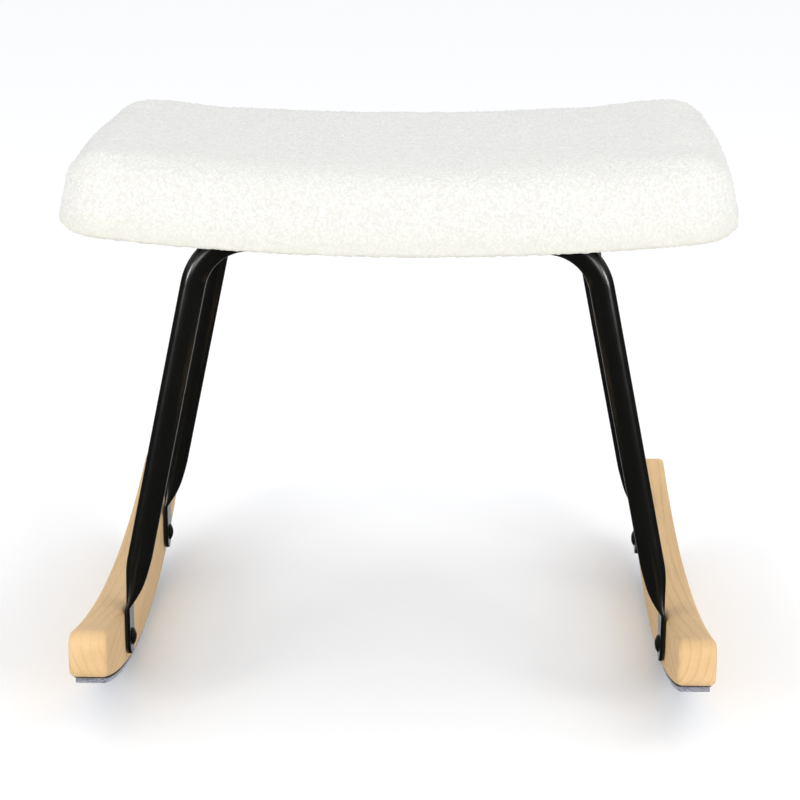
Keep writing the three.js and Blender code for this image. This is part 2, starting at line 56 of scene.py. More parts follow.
SEAT_LOW, SEAT_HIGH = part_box("seat_cover")
BOARD_LOW, BOARD_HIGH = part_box("seat_board")
LINING_LOW, LINING_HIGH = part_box("seat_lining")
HOOP_LOW, HOOP_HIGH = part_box("front_leg_hoop")
ROCKER_LOW, ROCKER_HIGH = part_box("right_rocker")
FELT_LOW, FELT_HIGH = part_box("right_glide_felt")
TAPE_LOW, TAPE_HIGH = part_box("right_glide_tape")
BOLT_LOW, BOLT_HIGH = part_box("front_right_rocker_bolt")

# ---- Driving dimensions of the CAD part, repeated in metres ----

GAP = 0.3 * MM  # clearance between pieces that touch
TUBE_DIAMETER = 20 * MM
TAB_THICKNESS = 4 * MM
TAB_TOP_Z = 72 * MM
PRESS_LENGTH = 44 * MM
PRESS_POWER = 2.4
NECK_INSET = 1.2 * MM
NECK_STEP = 2 * MM
KNEE_HALF_SPAN = 8 * MM
LEG_SPLAY = math.radians(11.73)
BEND_RADIUS = 46 * MM
CORNER_X = 153.8 * MM
SEAT_CURVE_RADIUS = 2.15
BOARD_THICKNESS = 12 * MM
FABRIC_THICKNESS = 2.5 * MM
ROCKER_BOTTOM_RADIUS = 0.65
ROCKER_TOP_RADIUS = 0.95
ROCKER_MID_HEIGHT = 53 * MM
ROCKER_NOSE_RADIUS = 13 * MM
ROCKER_EDGE_RADIUS = 4.5 * MM

# ---- Worked out from those ----

FRONT_HOOP_Y = (HOOP_LOW.y + HOOP_HIGH.y) / 2
CROSSBAR_Z = HOOP_HIGH.z - TUBE_DIAMETER / 2
TAB_OUTER_X = HOOP_HIGH.x
BOLT_Z = (BOLT_LOW.z + BOLT_HIGH.z) / 2
SEAT_RIM_Z = SEAT_LOW.z
SEAT_CENTRE_Z = SEAT_RIM_Z + SEAT_CURVE_RADIUS


# ---- Mesh helpers ----

def mesh_object(name, points, faces, material, smooth=True):
    mesh = bpy.data.meshes.new(name)
    mesh.from_pydata([tuple(p) for p in points], [], faces)
    mesh.validate()
    mesh.update()
    if smooth:
        mesh.shade_smooth()
    piece = bpy.data.objects.new(name, mesh)
    bpy.context.scene.collection.objects.link(piece)
    mesh.materials.append(material)
    return piece


def skinned(rings, close_ends=True):
    """Points and faces of a skin over rings of equally many points, each ring closed on itself."""
    count = len(rings[0])
    points = [p for ring in rings for p in ring]
    faces = []
    for r in range(len(rings) - 1):
        for i in range(count):
            j = (i + 1) % count
            a, b = r * count, (r + 1) * count
            faces.append((a + i, a + j, b + j, b + i))
    if close_ends:
        faces.append(tuple(reversed(range(count))))
        faces.append(tuple(range((len(rings) - 1) * count, len(rings) * count)))
    return points, faces


def apply_modifiers(piece):
    graph = bpy.context.evaluated_depsgraph_get()
    mesh = bpy.data.meshes.new_from_object(piece.evaluated_get(graph))
    piece.modifiers.clear()
    piece.data = mesh


def coordinates(mesh):
    values = np.empty(len(mesh.vertices) * 3)
    mesh.vertices.foreach_get("co", values)
    return values.reshape(-1, 3)


def normals(mesh):
    values = np.empty(len(mesh.vertices) * 3)
    mesh.vertices.foreach_get("normal", values)
    return values.reshape(-1, 3)


def set_coordinates(mesh, points):
    mesh.vertices.foreach_set("co", points.ravel())
    mesh.update()


# ---- Material helpers ----

class Nodes:
    """Builds one material's node tree."""

    def __init__(self, name):
        self.material = bpy.data.materials.new(name)
        self.material.use_nodes = True
        self.tree = self.material.node_tree
        self.shader = self.tree.nodes["Principled BSDF"]
        self.place = self.add("ShaderNodeTexCoord").outputs["Object"]

    def add(self, kind, **inputs):
        node = self.tree.nodes.new(kind)
        for key, value in inputs.items():
            self.feed(node.inputs[key.replace("_", " ")], value)
        return node

    def feed(self, socket, value):
        if isinstance(value, bpy.types.NodeSocket):
            self.tree.links.new(value, socket)
        else:
            socket.default_value = value

    def scaled(self, scale, shift=(0, 0, 0), turn=(0, 0, 0)):
        mapping = self.add("ShaderNodeMapping", Vector=self.place)
        mapping.inputs["Scale"].default_value = scale
        mapping.inputs["Location"].default_value = shift
        mapping.inputs["Rotation"].default_value = turn
        return mapping.outputs["Vector"]

    def noise(self, vector, scale, detail=3.0, roughness=0.5, distortion=0.0):
        node = self.add("ShaderNodeTexNoise", Vector=vector, Scale=scale, Detail=detail,
                        Roughness=roughness, Distortion=distortion)
        return node.outputs["Fac"]

    def cells(self, vector, scale, feature="F1", randomness=1.0):
        node = self.add("ShaderNodeTexVoronoi", Vector=vector, Scale=scale, Randomness=randomness)
        node.feature = feature
        return node.outputs["Distance"]

    def ramp(self, factor, *stops):
        node = self.add("ShaderNodeValToRGB", Fac=factor)
        elements = node.color_ramp.elements
        while len(elements) < len(stops):
            elements.new(0.5)
        for element, (position, color) in zip(elements, stops):
            element.position = position
            element.color = (*color, 1.0) if len(color) == 3 else color
        return node.outputs["Color"]

    def math(self, operation, a, b=0.0):
        node = self.add("ShaderNodeMath")
        node.operation = operation
        self.feed(node.inputs[0], a)
        self.feed(node.inputs[1], b)
        return node.outputs[0]

    def span(self, value, low, high, to_low=0.0, to_high=1.0):
        node = self.add("ShaderNodeMapRange", Value=value)
        node.inputs["From Min"].default_value = low
        node.inputs["From Max"].default_value = high
        node.inputs["To Min"].default_value = to_low
        node.inputs["To Max"].default_value = to_high
        return node.outputs["Result"]

    def mix(self, factor, a, b, blend="MIX"):
        node = self.tree.nodes.new("ShaderNodeMix")
        node.data_type = "RGBA"
        node.blend_type = blend
        self.feed(node.inputs["Factor"], factor)
        for socket, value in ((node.inputs[6], a), (node.inputs[7], b)):
            self.feed(socket, (*value, 1.0) if isinstance(value, tuple) else value)
        return node.outputs[2]

    def bump(self, height, distance, strength=1.0, under=None):
        node = self.add("ShaderNodeBump", Height=height, Distance=distance, Strength=strength)
        if under is not None:
            self.feed(node.inputs["Normal"], under)
        return node.outputs["Normal"]

    def set(self, **inputs):
        for key, value in inputs.items():
            if isinstance(value, tuple) and len(value) == 3:
                value = (*value, 1.0)
            self.feed(self.shader.inputs[key.replace("_", " ")], value)


def grey(value):
    return (value, value, value)


# ---- Materials ----

def height_above_rim(n):
    """The height of a point above the seat's curved rim, as a socket."""
    parts = n.add("ShaderNodeSeparateXYZ", Vector=n.place)
    across = n.math("POWER", parts.outputs["X"], 2.0)
    down = n.math("POWER", n.math("SUBTRACT", SEAT_CENTRE_Z, parts.outputs["Z"]), 2.0)
    return n.math("SUBTRACT", SEAT_CURVE_RADIUS, n.math("SQRT", n.math("ADD", across, down)))


def boucle_material():
    """Curled wool-like loops about 2 mm across, in soft clumps, with painted shade between the loops and
    painted warm shade along the lower edge.
    """
    painted_shade_between_loops, loop_tops = (0.725, 0.716, 0.676), (0.835, 0.833, 0.820)
    clump, tuft_shade, painted_edge_shade = (0.755, 0.748, 0.715), (0.62, 0.61, 0.57), (0.715, 0.700, 0.605)
    n = Nodes("boucle")
    waver = n.noise(n.place, 260, detail=2)
    bent = n.add("ShaderNodeVectorMath")
    bent.operation = "MULTIPLY_ADD"
    n.feed(bent.inputs[0], waver)
    bent.inputs[1].default_value = (0.0022, 0.0022, 0.0022)
    n.feed(bent.inputs[2], n.place)
    loops = n.cells(bent.outputs[0], 560, feature="SMOOTH_F1")
    curls = n.noise(n.place, 1100, detail=2, distortion=1.6)
    clumps = n.noise(n.place, 130, detail=3)
    loop_height = n.span(loops, 0.0, 0.7, 1.0, 0.0)
    height = n.math("ADD", loop_height, n.math("MULTIPLY", curls, 0.45))
    # painted shade between the loops: the colour is darker in the hollows and lighter on the loop tops
    color = n.ramp(loop_height, (0.10, painted_shade_between_loops), (0.75, loop_tops))
    color = n.mix(n.span(clumps, 0.35, 0.7, 0.0, 0.18), color, clump)
    tufts = n.noise(n.place, 380, detail=3, roughness=0.65)
    color = n.mix(n.span(tufts, 0.36, 0.56, 0.42, 0.0), color, tuft_shade)
    # painted warm shade, strongest at the rim and fading out by 24 mm above it
    color = n.mix(n.span(height_above_rim(n), 0.0, 24 * MM, 0.7, 0.0), color, painted_edge_shade)
    n.set(Base_Color=color, Roughness=0.95, Sheen_Weight=0.15, Sheen_Roughness=0.5)
    n.set(Normal=n.bump(height, 0.8 * MM, 0.55))
    return n.material


def coated_steel_material():
    """Smooth black powder coat, with faint orange peel."""
    n = Nodes("coated_steel")
    speck = n.noise(n.place, 1500, detail=2)
    peel = n.noise(n.place, 420, detail=1)
    wear = n.noise(n.place, 18, detail=3)
    handling = n.noise(n.place, 60, detail=3)
    n.set(Base_Color=n.mix(wear, (0.0038, 0.0040, 0.0034), (0.0058, 0.0060, 0.0048)), Metallic=0.0)
    n.set(Roughness=n.span(handling, 0.3, 0.7, 0.20, 0.26), Specular_IOR_Level=0.3)
    n.set(Normal=n.bump(peel, 0.02 * MM, 0.25, under=n.bump(speck, 0.01 * MM, 0.08)))
    return n.material


def black_steel_material():
    n = Nodes("black_steel")
    grain = n.noise(n.place, 1200, detail=3)
    n.set(Base_Color=n.mix(grain, (0.008, 0.008, 0.009), (0.02, 0.02, 0.021)), Metallic=0.7)
    n.set(Roughness=n.span(grain, 0.3, 0.7, 0.28, 0.42), Normal=n.bump(grain, 0.02 * MM, 0.3))
    return n.material


def wood_material(name, pith, shift):
    """Pale lacquered hardwood. Its growth rings lie about a pith line along the rocker, at (x, z)."""
    pale, paler, late_wood = (0.70, 0.470, 0.234), (0.81, 0.560, 0.296), (0.50, 0.285, 0.120)
    fibre, fleck = (0.56, 0.340, 0.155), (0.80, 0.600, 0.370)
    rings_per_metre = 140.0
    n = Nodes(name)
    warp = n.noise(n.scaled((9, 1.6, 9), shift), 3.0, detail=3)
    moved = n.add("ShaderNodeVectorMath")
    moved.operation = "MULTIPLY_ADD"
    n.feed(moved.inputs[0], warp)
    moved.inputs[1].default_value = (0.012, 0.0, 0.012)
    n.feed(moved.inputs[2], n.place)
    parts = n.add("ShaderNodeSeparateXYZ", Vector=moved.outputs[0])
    across = n.math("SUBTRACT", parts.outputs["X"], pith[0])
    up = n.math("SUBTRACT", parts.outputs["Z"], pith[1])
    slant = n.math("MULTIPLY", parts.outputs["Y"], 0.02)
    distance = n.math("SQRT", n.math("ADD", n.math("MULTIPLY", across, across), n.math("MULTIPLY", up, up)))
    rings = n.math("FRACT", n.math("MULTIPLY", n.math("ADD", distance, slant), rings_per_metre))
    late = n.ramp(rings, (0.0, grey(0)), (0.62, grey(0.15)), (0.90, grey(1)), (1.0, grey(0.05)))
    bolder = n.span(n.noise(n.scaled((60, 4, 60), shift), 1.0, detail=1), 0.3, 0.7, 0.08, 0.42)
    fibres = n.noise(n.scaled((900, 22, 900), shift), 1.0, detail=3, roughness=0.65)
    flecks = n.noise(n.scaled((420, 60, 420), shift), 1.0, detail=2)
    patches = n.noise(n.scaled((22, 6, 22), shift), 1.0, detail=3)
    base = n.ramp(patches, (0.3, pale), (0.7, paler))
    base = n.mix(n.math("MULTIPLY", late, bolder), base, late_wood)
    base = n.mix(n.span(fibres, 0.45, 0.72, 0.0, 0.28), base, fibre)
    base = n.mix(n.span(flecks, 0.62, 0.75, 0.0, 0.22), base, fleck)
    grain = n.math("ADD", n.math("MULTIPLY", fibres, 0.6), n.math("MULTIPLY", late, 0.4))
    n.set(Base_Color=base, Roughness=n.span(fibres, 0.3, 0.7, 0.52, 0.64), Specular_IOR_Level=0.25)
    n.set(Normal=n.bump(grain, 0.1 * MM, 0.3))
    return n.material


def plywood_material():
    n = Nodes("plywood")
    parts = n.add("ShaderNodeSeparateXYZ", Vector=n.place)
    plies = n.math("FRACT", n.math("MULTIPLY", parts.outputs["Z"], 420.0))
    fibres = n.noise(n.scaled((18, 700, 700)), 1.0, detail=3)
    base = n.ramp(fibres, (0.3, (0.60, 0.44, 0.26)), (0.7, (0.72, 0.56, 0.36)))
    base = n.mix(n.span(plies, 0.45, 0.55, 0.0, 0.25), base, (0.42, 0.28, 0.15))
    n.set(Base_Color=base, Roughness=0.7, Normal=n.bump(fibres, 0.2 * MM, 0.4))
    return n.material


def felt_material():
    """Pressed recycled fibres: pale blue-grey with lighter and darker specks."""
    n = Nodes("felt")
    specks = n.noise(n.place, 1300, detail=3, roughness=0.7)
    tufts = n.noise(n.scaled((500, 180, 500)), 1.0, detail=3, distortion=1.2)
    dark, middling = (0.05, 0.06, 0.11), (0.24, 0.27, 0.34)
    light, tuft = (0.62, 0.64, 0.69), (0.42, 0.44, 0.50)
    base = n.ramp(specks, (0.36, dark), (0.52, middling), (0.66, light))
    base = n.mix(n.span(tufts, 0.35, 0.65, 0.0, 0.3), base, tuft)
    n.set(Base_Color=base, Roughness=1.0, Sheen_Weight=0.3, Sheen_Roughness=0.6)
    n.set(Normal=n.bump(n.math("ADD", specks, tufts), 0.6 * MM, 0.7))
    return n.material


def tape_material():
    n = Nodes("tape")
    weave = n.noise(n.place, 900, detail=2)
    n.set(Base_Color=n.mix(weave, (0.012, 0.012, 0.013), (0.035, 0.035, 0.037)), Roughness=0.75)
    n.set(Normal=n.bump(weave, 0.1 * MM, 0.4))
    return n.material


def lining_material():
    """Non-woven polypropylene with its pattern of small fused dots."""
    n = Nodes("lining")
    turned = n.scaled((1, 1, 1), turn=(0, 0, math.radians(45)))
    dots = n.cells(turned, 620, randomness=0.15)
    fibres = n.noise(n.place, 1400, detail=3, distortion=1.0)
    dimple = n.span(dots, 0.0, 0.35, 0.0, 1.0)
    base = n.mix(fibres, (0.010, 0.010, 0.011), (0.035, 0.035, 0.038))
    base = n.mix(n.span(dimple, 0.0, 1.0, 0.35, 0.0), base, grey(0.004))
    n.set(Base_Color=base, Roughness=0.85)
    n.set(Normal=n.bump(n.math("ADD", dimple, n.math("MULTIPLY", fibres, 0.4)), 0.25 * MM, 0.6))
    return n.material


def plastic_material():
    n = Nodes("black_plastic")
    grain = n.noise(n.place, 1800, detail=2)
    n.set(Base_Color=n.mix(grain, (0.014, 0.014, 0.014), (0.024, 0.024, 0.025)), Roughness=0.48)
    n.set(Normal=n.bump(grain, 0.05 * MM, 0.3))
    return n.material


def zinc_material():
    n = Nodes("zinc_steel")
    spangle = n.cells(n.place, 700)
    base = n.ramp(spangle, (0.0, (0.50, 0.51, 0.53)), (1.0, (0.68, 0.69, 0.71)))
    n.set(Base_Color=base, Metallic=1.0, Roughness=n.span(spangle, 0.0, 1.0, 0.28, 0.42))
    n.set(Normal=n.bump(spangle, 0.02 * MM, 0.2))
    return n.material


# ---- Seat ----

def saddle_point(x, y, height):
    """Bends a point of a flat cushion about the seat's curve: height is measured up from the rim."""
    radius = SEAT_CURVE_RADIUS - height
    angle = x / SEAT_CURVE_RADIUS
    return (radius * math.sin(angle), y, SEAT_CENTRE_Z - radius * math.cos(angle))


PAD_HALF_X = 265.5 * MM
PAD_HALF_Y = SEAT_HIGH.y - 1 * MM
PAD_HEIGHT = 62 * MM
PAD_CORNER = 36 * MM
PAD_REAR_CORNER = 50 * MM
PAD_SMALLEST_CORNER = 4 * MM
PAD_TOP_ROUND = 22 * MM
PAD_BOTTOM_ROUND = 12 * MM
PAD_INNER_ROUND = 10 * MM
PAD_COLUMNS, PAD_ROWS = 46, 30
END_BOW = 6 * MM  # how far the middle of each end stands out past its corners
REAR_RIGHT_FULLNESS = 10 * MM
REAR_LEFT_DIP = 4 * MM
RIM_WIDTH = SEAT_HIGH.y - BOARD_HIGH.y + 1 * MM
HEM_WIDTH = 8 * MM
BOARD_HEIGHT = BOARD_LOW.z - SEAT_LOW.z
HEM_HEIGHT = BOARD_HEIGHT - FABRIC_THICKNESS - GAP
POCKET_HEIGHT = BOARD_HEIGHT + BOARD_THICKNESS + 1.5 * MM
POCKET_INSET = RIM_WIDTH - 3 * MM
FIRST_HELD_RING = 10  # the rings from here on lie under the seat, and stay still while it is filled


def pad_profile():
    """Inset and height of each ring of the seat, from the edge of its flat top to the board's pocket."""
    rings = []
    for turned in (90, 72, 54, 36, 18, 0):
        angle = math.radians(turned)
        height = PAD_HEIGHT - PAD_TOP_ROUND * (1 - math.sin(angle))
        rings.append((PAD_TOP_ROUND * (1 - math.cos(angle)), height))
    rings.append((-0.8 * MM, 29 * MM))
    rings.append((-0.6 * MM, 20 * MM))
    for turned in (0, 30, 60, 90):
        angle = math.radians(turned)
        rings.append((PAD_BOTTOM_ROUND * (1 - math.cos(angle)), PAD_BOTTOM_ROUND * (1 - math.sin(angle))))
    for turned in (90, 50, 10):
        angle = math.radians(turned)
        inset = RIM_WIDTH - PAD_INNER_ROUND * (1 - math.cos(angle))
        rings.append((inset, PAD_INNER_ROUND * (1 - math.sin(angle))))
    rings.append((RIM_WIDTH + 2 * MM, HEM_HEIGHT))
    rings.append((RIM_WIDTH + HEM_WIDTH, HEM_HEIGHT))
    rings.append((RIM_WIDTH + HEM_WIDTH, HEM_HEIGHT + 2.4 * MM))
    rings.append((POCKET_INSET, HEM_HEIGHT + 2.6 * MM))
    rings.append((POCKET_INSET, POCKET_HEIGHT))
    return rings


def ring_point(u, v, inset):
    """u and v run from -1 to 1 over a square; its edge becomes a rectangle with rounded corners."""
    half_x, half_y = PAD_HALF_X - inset, PAD_HALF_Y - inset
    corner = max((PAD_REAR_CORNER if v > 0 else PAD_CORNER) - inset, PAD_SMALLEST_CORNER)
    x, y = u * half_x, v * half_y
    near_x = min(max(x, corner - half_x), half_x - corner)
    near_y = min(max(y, corner - half_y), half_y - corner)
    away = math.hypot(x - near_x, y - near_y)
    if abs(x) > half_x - corner and abs(y) > half_y - corner and away > 0:
        x = near_x + (x - near_x) / away * corner
        y = near_y + (y - near_y) / away * corner
    return x, y


def pad_point(x, y, u, v, inset, height):
    """A point of the seat, with the bow of its ends and the unevenness of its rear corners."""
    outside = min(max((RIM_WIDTH - inset) / (RIM_WIDTH - PAD_TOP_ROUND), 0), 1)
    rearward = outside * (v + 1) / 2
    outward = END_BOW * u * (1 - v * v) * outside + REAR_RIGHT_FULLNESS * max(u, 0) * rearward
    down = REAR_LEFT_DIP * max(-u, 0) * rearward
    return saddle_point(x + outward, y, height - down * height / PAD_HEIGHT)


def pad_square():
    """The (u, v) of every grid point, and the indexes of those round its edge, anticlockwise."""
    uv = [(2 * i / PAD_COLUMNS - 1, 2 * j / PAD_ROWS - 1)
          for j in range(PAD_ROWS + 1) for i in range(PAD_COLUMNS + 1)]
    row = PAD_COLUMNS + 1
    edge = list(range(PAD_COLUMNS))
    edge += [PAD_COLUMNS + row * j for j in range(PAD_ROWS)]
    edge += [row * PAD_ROWS + i for i in range(PAD_COLUMNS, 0, -1)]
    edge += [row * j for j in range(PAD_ROWS, 0, -1)]
    return uv, edge


def join_rings(faces, above, below):
    for i in range(len(above)):
        j = (i + 1) % len(above)
        faces.append((above[i], below[i], below[j], above[j]))


def pad_base():
    """The seat's coarse form: its top grid, the rings down and under, and the ceiling of the pocket."""
    uv, edge = pad_square()
    rings = pad_profile()
    row = PAD_COLUMNS + 1
    points, ring_of, faces = [], [], []

    def grid(inset, height, upward):
        start = len(points)
        for u, v in uv:
            # the grid's own edge is the ring, and inside it the square shrinks evenly
            on_edge = math.isclose(max(abs(u), abs(v)), 1)
            inside = (u * (PAD_HALF_X - inset), v * (PAD_HALF_Y - inset))
            x, y = ring_point(u, v, inset) if on_edge else inside
            points.append(pad_point(x, y, u, v, inset, height))
            ring_of.append(0 if upward else len(rings) - 1)
        for j in range(PAD_ROWS):
            for i in range(PAD_COLUMNS):
                a = start + j * row + i
                quad = (a, a + 1, a + row + 1, a + row)
                faces.append(quad if upward else tuple(reversed(quad)))
        return [start + k for k in edge]

    above = grid(*rings[0], upward=True)
    for index, (inset, height) in enumerate(rings[1:-1], start=1):
        below = []
        for k in edge:
            x, y = ring_point(*uv[k], inset)
            below.append(len(points))
            points.append(pad_point(x, y, *uv[k], inset, height))
            ring_of.append(index)
        join_rings(faces, above, below)
        above = below
    join_rings(faces, above, grid(*rings[-1], upward=False))
    return np.array(points), np.array(ring_of), faces


PUFF_CAP = 4.5 * MM
PUFF_PRESSURE = 4.0
PUFF_FRAMES = 20


def filled(piece, held):
    """Lets pressure fill the fabric, with the held points fixed, and caps how far any point moves."""
    before = coordinates(piece.data)
    group = piece.vertex_groups.new(name="held")
    group.add([int(i) for i in np.nonzero(held)[0]], 1.0, "REPLACE")
    cloth = piece.modifiers.new("fill", "CLOTH")
    cloth.settings.vertex_group_mass = "held"
    cloth.settings.use_pressure = True
    cloth.settings.uniform_pressure_force = PUFF_PRESSURE
    cloth.settings.effector_weights.gravity = 0.0
    cloth.settings.quality = 6
    cloth.collision_settings.use_collision = False
    for step in range(1, PUFF_FRAMES + 1):
        bpy.context.scene.frame_set(step)
    apply_modifiers(piece)
    bpy.context.scene.frame_set(1)
    piece.vertex_groups.clear()
    moved = coordinates(piece.data) - before
    length = np.linalg.norm(moved, axis=1, keepdims=True)
    set_coordinates(piece.data, before + moved * np.minimum(1, PUFF_CAP / np.maximum(length, 1e-9)))


def shown_outside(points):
    """Which points lie on the outside of the seat, and not in the hollow under the board."""
    height = SEAT_CURVE_RADIUS - np.hypot(points[:, 0], SEAT_CENTRE_Z - points[:, 2])
    in_hollow_x = np.abs(points[:, 0]) < PAD_HALF_X - POCKET_INSET
    in_hollow_y = np.abs(points[:, 1]) < PAD_HALF_Y - POCKET_INSET
    return ~(in_hollow_x & in_hollow_y & (height < POCKET_HEIGHT + 2 * MM))


NUB_HEIGHT = 1.2 * MM
NUB_RADIUS = 3 * MM
NUB_SINK = 0.4 * MM  # the fabric between the nubs lies this much lower
POINTS_PER_NUB = 5


def raise_nubs(piece):
    """Stands small rounded nubs up from the fabric, at points chosen at random."""
    points, outward = coordinates(piece.data), normals(piece.data)
    shown = np.nonzero(shown_outside(points))[0]
    seeds = points[RNG.choice(shown, size=len(shown) // POINTS_PER_NUB, replace=False)]
    tree = kdtree.KDTree(len(seeds))
    for i, seed in enumerate(seeds):
        tree.insert(seed, i)
    tree.balance()
    lift = np.zeros(len(points))
    heights = RNG.uniform(0.35, 1.0, len(seeds))
    for i in shown:
        _, index, distance = tree.find(points[i])
        lift[i] = heights[index] * max(0.0, 1 - (distance / NUB_RADIUS) ** 2)
    points += outward * (lift * NUB_HEIGHT - NUB_SINK)[:, None] * (lift > 0)[:, None]
    set_coordinates(piece.data, points)


def make_seat(material):
    points, ring_of, faces = pad_base()
    piece = mesh_object("seat_pad", points, faces, material)
    held = ring_of >= FIRST_HELD_RING
    filled(piece, held)
    smooth = piece.modifiers.new("smooth", "SUBSURF")
    smooth.levels = smooth.render_levels = 2
    apply_modifiers(piece)
    raise_nubs(piece)
    piece.data.shade_smooth()
    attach(piece, ROOT)
    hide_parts("seat_cover", "seat_foam")


# ---- Hoops ----

OUTER_LINE_X = CORNER_X + TUBE_DIAMETER / 2 / math.cos(LEG_SPLAY)
SIDE_SLOPE = math.tan(LEG_SPLAY)
KNEE_Z = CROSSBAR_Z - (TAB_OUTER_X - OUTER_LINE_X) / SIDE_SLOPE
SECTION_POINTS = 48
BEND_STEPS = 20
PRESS_STEPS = 22


def leg_slope(z):
    share = (z - KNEE_Z + KNEE_HALF_SPAN) / (2 * KNEE_HALF_SPAN)
    return SIDE_SLOPE * min(max(share, 0), 1)


def leg_outer_x(z):
    if z >= KNEE_Z + KNEE_HALF_SPAN:
        return OUTER_LINE_X + SIDE_SLOPE * (CROSSBAR_Z - z)
    above = max(z - KNEE_Z + KNEE_HALF_SPAN, 0)
    return TAB_OUTER_X - SIDE_SLOPE * above ** 2 / (4 * KNEE_HALF_SPAN)


def pressed_width(thickness):
    """The width of a pressed tube, which keeps its circumference."""
    return math.pi / 2 * TUBE_DIAMETER - (math.pi / 2 - 1) * thickness


TAB_WIDTH = pressed_width(TAB_THICKNESS)


def leg_ring(z, thickness, width, inset=0.0):
    tilt = math.atan(leg_slope(z))
    x = leg_outer_x(z) - inset - thickness / 2 / math.cos(tilt)
    return x, z, math.sin(tilt), -math.cos(tilt), thickness, width


def half_hoop_rings():
    """x, z, direction of travel (x, z), thickness and width of each section of the hoop's right half."""
    rings = []
    bend = math.pi / 2 - LEG_SPLAY
    bend_x = CORNER_X - BEND_RADIUS * math.tan(bend / 2)
    for share in (0.0, 0.5):
        rings.append((bend_x * share, CROSSBAR_Z, 1.0, 0.0, TUBE_DIAMETER, TUBE_DIAMETER))
    for i in range(BEND_STEPS + 1):
        turned = bend * i / BEND_STEPS
        x = bend_x + BEND_RADIUS * math.sin(turned)
        z = CROSSBAR_Z - BEND_RADIUS * (1 - math.cos(turned))
        rings.append((x, z, math.cos(turned), -math.sin(turned), TUBE_DIAMETER, TUBE_DIAMETER))
    press_start = TAB_TOP_Z + PRESS_LENGTH
    bend_end = rings[-1][1]
    for share in (0.25, 0.5, 0.75, 0.92):
        z = bend_end * (1 - share) + press_start * share
        rings.append(leg_ring(z, TUBE_DIAMETER, TUBE_DIAMETER))
    for share in np.linspace(1, 0, PRESS_STEPS + 1):
        squeezed = (TUBE_DIAMETER - TAB_THICKNESS) * (1 - share) ** PRESS_POWER
        thickness = TUBE_DIAMETER - squeezed
        z = TAB_TOP_Z + PRESS_LENGTH * share
        rings.append(leg_ring(z, thickness, pressed_width(thickness), NECK_INSET * (1 - share) ** 2))
    for share in (0.0, 0.1, 0.5, 1.0):
        z = (TAB_TOP_Z - NECK_STEP) * (1 - share) + BOLT_Z * share
        rings.append(leg_ring(z, TAB_THICKNESS, TAB_WIDTH))
    for degrees in (12, 24, 36, 48, 58, 67, 74, 80):
        angle = math.radians(degrees)
        z = BOLT_Z - TAB_WIDTH / 2 * math.sin(angle)
        rings.append(leg_ring(z, TAB_THICKNESS, TAB_WIDTH * math.cos(angle)))
    return rings


def section_point(angle, thickness, width):
    """A point of a slot-shaped section that keeps its distance along the edge as the tube is pressed."""
    end_radius, flat_half = thickness / 2, (width - thickness) / 2
    quarter = flat_half + math.pi / 2 * end_radius
    walked = math.acos(abs(math.cos(angle))) / (math.pi / 2) * quarter
    if walked < math.pi / 2 * end_radius:
        turned = walked / end_radius
        across, deep = end_radius * math.sin(turned), flat_half + end_radius * math.cos(turned)
    else:
        across, deep = end_radius, quarter - walked
    return math.copysign(across, math.sin(angle)), math.copysign(deep, math.cos(angle))


def make_hoop(name, y, material):
    right = half_hoop_rings()
    left = [(-x, z, tx, -tz, t, w) for x, z, tx, tz, t, w in reversed(right[1:])]
    rings = []
    for x, z, along_x, along_z, thickness, width in left + right:
        ring = []
        for i in range(SECTION_POINTS):
            angle = 2 * math.pi * (i + 0.5) / SECTION_POINTS
            across, deep = section_point(angle, thickness, width)
            ring.append((x + along_z * across, y + deep, z - along_x * across))
        rings.append(ring)
    points, faces = skinned(rings)
    piece = mesh_object(name + "_tube", points, faces, material)
    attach(piece, ROOT)
    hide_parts(name)


# ---- Rockers and glides ----

def rocker_centres():
    """How far out the noses' centres lie, and the heights of the bottom, top, low and high nose centres."""
    nose_y = ROCKER_HIGH.y - ROCKER_NOSE_RADIUS
    bottom = ROCKER_LOW.z + ROCKER_BOTTOM_RADIUS
    top = ROCKER_LOW.z + ROCKER_MID_HEIGHT + ROCKER_TOP_RADIUS
    low = bottom - math.sqrt((ROCKER_BOTTOM_RADIUS - ROCKER_NOSE_RADIUS) ** 2 - nose_y ** 2)
    high = top - math.sqrt((ROCKER_TOP_RADIUS + ROCKER_NOSE_RADIUS) ** 2 - nose_y ** 2)
    return nose_y, bottom, top, low, high


def rocker_heights(y):
    """Bottom and top of the rocker at a distance y from its middle."""
    nose_y, bottom, top, low, high = rocker_centres()
    y = abs(y)
    low_turn = nose_y * ROCKER_BOTTOM_RADIUS / (ROCKER_BOTTOM_RADIUS - ROCKER_NOSE_RADIUS)
    high_turn = nose_y * ROCKER_TOP_RADIUS / (ROCKER_TOP_RADIUS + ROCKER_NOSE_RADIUS)
    nose_rise = math.sqrt(max(ROCKER_NOSE_RADIUS ** 2 - (y - nose_y) ** 2, 0))
    under = bottom - math.sqrt(ROCKER_BOTTOM_RADIUS ** 2 - y ** 2) if y < low_turn else low - nose_rise
    over = top - math.sqrt(ROCKER_TOP_RADIUS ** 2 - y ** 2) if y < high_turn else high + nose_rise
    return under, over


CORNER_STEPS = 5
MOST_ROUNDED = 0.98  # the largest corner radius, as a share of half the side


def rounded_box_ring(low, high, half_width, radius):
    """Points (across, z) round an upright rectangle with rounded corners."""
    radius = min(radius, half_width * MOST_ROUNDED, (high - low) / 2 * MOST_ROUNDED)
    ring = []
    for corner_x, corner_z, start in ((1, 0, -90), (1, 1, 0), (-1, 1, 90), (-1, 0, 180)):
        centre_x = corner_x * (half_width - radius)
        centre_z = high - radius if corner_z else low + radius
        for i in range(CORNER_STEPS + 1):
            angle = math.radians(start + 90 * i / CORNER_STEPS)
            ring.append((centre_x + radius * math.cos(angle), centre_z + radius * math.sin(angle)))
    return ring


